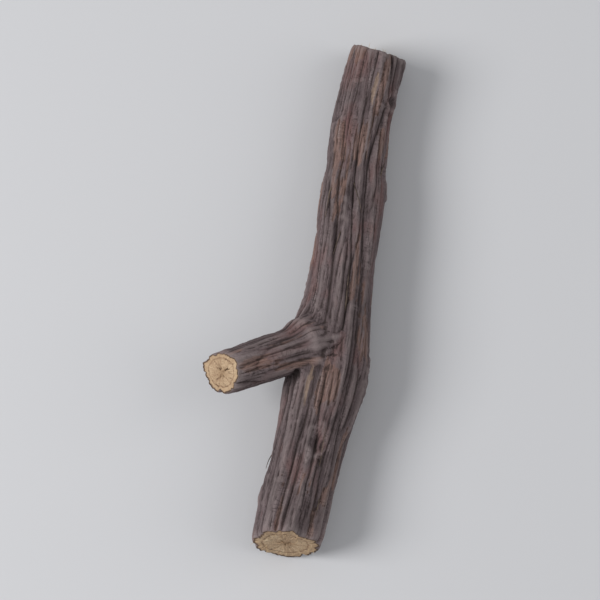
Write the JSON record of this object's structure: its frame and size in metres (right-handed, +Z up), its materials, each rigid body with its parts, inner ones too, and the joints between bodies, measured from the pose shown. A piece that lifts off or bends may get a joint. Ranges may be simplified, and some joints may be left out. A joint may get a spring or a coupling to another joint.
{
  "type": "licorice root",
  "caption": "Dried licorice root stick, a cut length of unpeeled root with lengthwise wrinkles, rootlet scars and a short side rootlet.",
  "frame": {"origin": "under the middle of the bounding box, on the surface that the stick lies on", "axes": "+Z up; +X along the stick, from its thick cut end to its thin one; the side rootlet points towards +Y"},
  "size_m": [0.0682, 0.0204, 0.0119],
  "materials": {
    "root_bark": "matt"
  },
  "bodies": {
    "root": {"licorice_root": "root_bark"}
  },
  "joints": []
}
